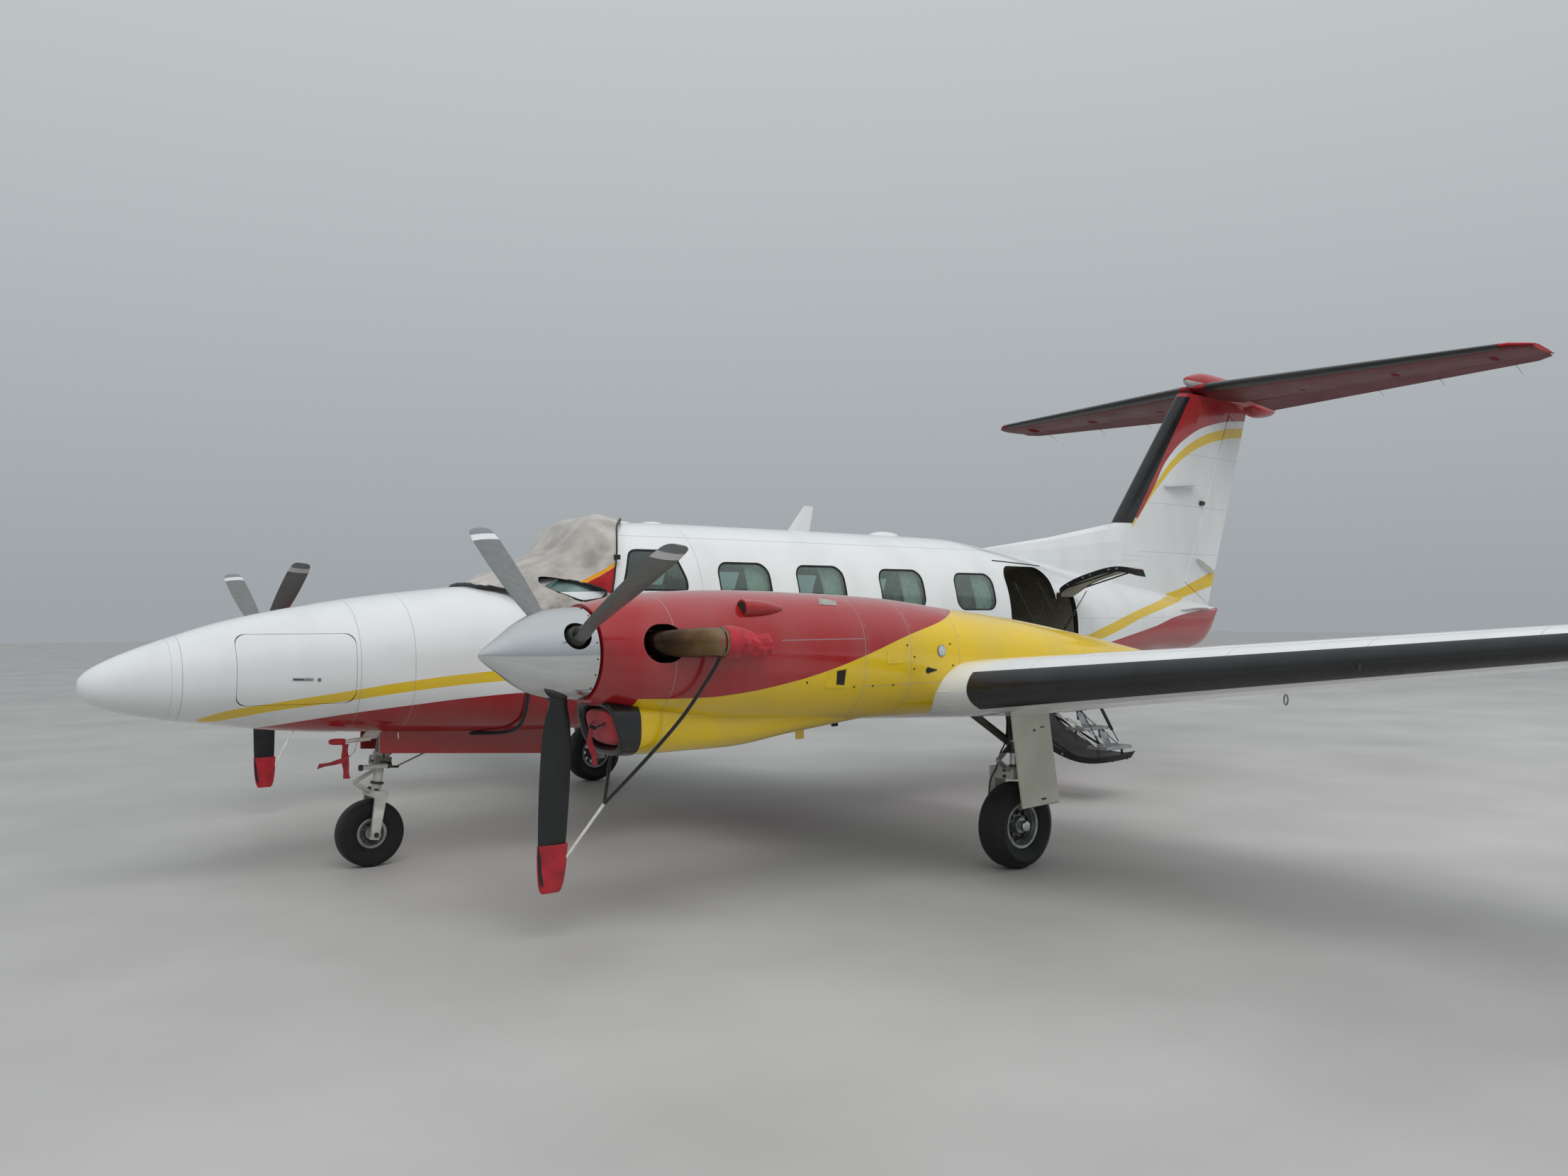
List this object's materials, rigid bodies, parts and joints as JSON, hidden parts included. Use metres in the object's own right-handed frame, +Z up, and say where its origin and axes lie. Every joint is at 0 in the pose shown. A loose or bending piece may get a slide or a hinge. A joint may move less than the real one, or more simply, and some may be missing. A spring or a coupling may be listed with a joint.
{
  "type": "twin turboprop aircraft",
  "caption": "Low-wing cabin aircraft with a turboprop on each wing, a T-tail and wing-tip tanks, parked on tricycle gear with its stair and cargo doors open.",
  "frame": {"origin": "on the ground, midway between nose and tail and between the tip tanks", "axes": "+X aft along the fuselage, +Y to starboard, +Z up; millimetres in the source, metres in the row"},
  "size_m": [13.23, 14.53, 4.5],
  "materials": {
    "white_paint": "gloss white paint on sheet",
    "red_paint": "gloss red and yellow paint on sheet",
    "bare_metal": "machined and clear-coated",
    "polished": "polished",
    "gear_steel": "light grey enamel",
    "exhaust_steel": "heat-tinted bronze brown",
    "engine_iron": "satin",
    "blade_alloy": "matt black",
    "lining": "woven and carpeted",
    "cover_cloth": "coarse woven cloth",
    "pane": "clear, slightly tinted",
    "tyre_rubber": "matt",
    "radome_plastic": "gloss white"
  },
  "bodies": {
    "airframe": {"nose_section": "white_paint", "cabin_side_left": "white_paint", "cabin_side_right": "white_paint", "cabin_roof": "white_paint", "tail_cone": "white_paint", "wing_left": "white_paint", "wing_right": "white_paint", "tip_tank_left": "white_paint", "tip_tank_right": "white_paint", "main_gear_door_left": "white_paint", "main_gear_door_right": "white_paint", "cabin_belly": "red_paint", "nacelle_left": "red_paint", "nacelle_right": "red_paint", "fin": "red_paint", "stabilizer": "red_paint", "tail_bullet": "red_paint", "nose_gear_door_left": "red_paint", "nose_gear_door_right": "red_paint", "nose_leg": "gear_steel", "main_leg_left": "gear_steel", "main_leg_right": "gear_steel", "exhaust_left": "exhaust_steel", "exhaust_right": "exhaust_steel", "engine_left": "engine_iron", "engine_right": "engine_iron", "cabin_floor_and_seats": "lining", "windscreen_cover": "cover_cloth", "window_glass_left": "pane", "window_glass_right": "pane", "windscreen": "pane", "radome": "radome_plastic"},
    "nose_baggage_door": {"nose_baggage_door": "white_paint"},
    "airstair": {"airstair_door": "white_paint", "airstair_steps": "bare_metal"},
    "cargo_door": {"cargo_door": "white_paint"},
    "flap_inner_left": {"flap_inner_left": "white_paint"},
    "flap_inner_right": {"flap_inner_right": "white_paint"},
    "flap_outer_left": {"flap_outer_left": "white_paint"},
    "flap_outer_right": {"flap_outer_right": "white_paint"},
    "aileron_left": {"aileron_left": "white_paint"},
    "aileron_right": {"aileron_right": "white_paint"},
    "rudder": {"rudder": "red_paint"},
    "elevator": {"elevator": "red_paint"},
    "propeller_left": {"propeller_left": "blade_alloy", "spinner_left": "polished"},
    "propeller_right": {"propeller_right": "blade_alloy", "spinner_right": "polished"},
    "nose_fork": {"nose_fork": "gear_steel"},
    "nose_wheel": {"nose_wheel_tyre": "tyre_rubber", "nose_wheel_rim": "bare_metal"},
    "main_wheel_left": {"main_wheel_left_tyre": "tyre_rubber", "main_wheel_left_rim": "bare_metal"},
    "main_wheel_right": {"main_wheel_right_tyre": "tyre_rubber", "main_wheel_right_rim": "bare_metal"}
  },
  "joints": [
    {"name": "nose_steering", "type": "hinge", "parent": "airframe", "child": "nose_fork", "pos_m": [-4.8385, 0, 0.5], "axis": [0.1478, 0, 0.989], "range_deg": [-30, 30]},
    {"name": "nose_wheel_spin", "type": "hinge", "parent": "nose_fork", "child": "nose_wheel", "pos_m": [-4.88, 0, 0.2225], "axis": [0, 1, 0], "continuous": true},
    {"name": "main_wheel_left_spin", "type": "hinge", "parent": "airframe", "child": "main_wheel_left", "pos_m": [-1.594, -2.803, 0.28075], "axis": [0, 1, 0], "continuous": true},
    {"name": "main_wheel_right_spin", "type": "hinge", "parent": "airframe", "child": "main_wheel_right", "pos_m": [-1.594, 2.803, 0.28075], "axis": [0, 1, 0], "continuous": true},
    {"name": "propeller_left_spin", "type": "hinge", "parent": "airframe", "child": "propeller_left", "pos_m": [-4.843, -2.624, 1.48], "axis": [1, 0, 0], "continuous": true},
    {"name": "propeller_right_spin", "type": "hinge", "parent": "airframe", "child": "propeller_right", "pos_m": [-4.843, 2.624, 1.48], "axis": [1, 0, 0], "continuous": true},
    {"name": "airstair_hinge", "type": "hinge", "parent": "airframe", "child": "airstair", "pos_m": [0.88, -0.53528, 0.944], "axis": [0.9918, 0.1278, 0], "range_deg": [-120, 0]},
    {"name": "cargo_door_hinge", "type": "hinge", "parent": "airframe", "child": "cargo_door", "pos_m": [1.57, -0.59385, 1.874], "axis": [0.9919, 0.127, 0], "range_deg": [0, 106]},
    {"name": "nose_baggage_door_hinge", "type": "hinge", "parent": "airframe", "child": "nose_baggage_door", "pos_m": [-5.75, -0.26745, 1.568], "axis": [-0.9616, 0.2746, 0], "range_deg": [0, 75]},
    {"name": "flap_inner_left_hinge", "type": "hinge", "parent": "airframe", "child": "flap_inner_left", "pos_m": [-0.85182, -2.225, 1.07388], "axis": [-0.0154, 0.9972, -0.0738], "range_deg": [0, 35]},
    {"name": "flap_outer_left_hinge", "type": "hinge", "parent": "airframe", "child": "flap_outer_left", "pos_m": [-0.87893, -4.7, 1.32304], "axis": [0.0242, 0.9932, -0.1135], "range_deg": [0, 35]},
    {"name": "flap_inner_right_hinge", "type": "hinge", "parent": "airframe", "child": "flap_inner_right", "pos_m": [-0.87364, 0.815, 0.9695], "axis": [0.0154, 0.9972, 0.0738], "range_deg": [0, 35]},
    {"name": "flap_outer_right_hinge", "type": "hinge", "parent": "airframe", "child": "flap_outer_right", "pos_m": [-0.84, 3.105, 1.14084], "axis": [-0.0242, 0.9932, 0.1135], "range_deg": [0, 35]},
    {"name": "aileron_left_hinge", "type": "hinge", "parent": "airframe", "child": "aileron_left", "pos_m": [-0.90251, -6.76, 1.55788], "axis": [0.0292, 0.9931, -0.1138], "range_deg": [-25, 25]},
    {"name": "aileron_right_hinge", "type": "hinge", "parent": "airframe", "child": "aileron_right", "pos_m": [-0.84364, 4.76, 1.32865], "axis": [-0.0292, 0.9931, 0.1138], "range_deg": [-25, 25]},
    {"name": "rudder_hinge", "type": "hinge", "parent": "airframe", "child": "rudder", "pos_m": [4.58, 0, 2.01], "axis": [0.4382, 0, 0.8989], "range_deg": [-25, 25]},
    {"name": "elevator_hinge", "type": "hinge", "parent": "airframe", "child": "elevator", "pos_m": [5.795, 0, 4.266], "axis": [0, 1, 0], "range_deg": [-32, 0]}
  ],
  "couplings": [
    {"joint": "flap_outer_left_hinge", "follows": "flap_inner_left_hinge", "ratio": 1},
    {"joint": "flap_inner_right_hinge", "follows": "flap_inner_left_hinge", "ratio": 1},
    {"joint": "flap_outer_right_hinge", "follows": "flap_inner_left_hinge", "ratio": 1},
    {"joint": "aileron_right_hinge", "follows": "aileron_left_hinge", "ratio": -1}
  ]
}
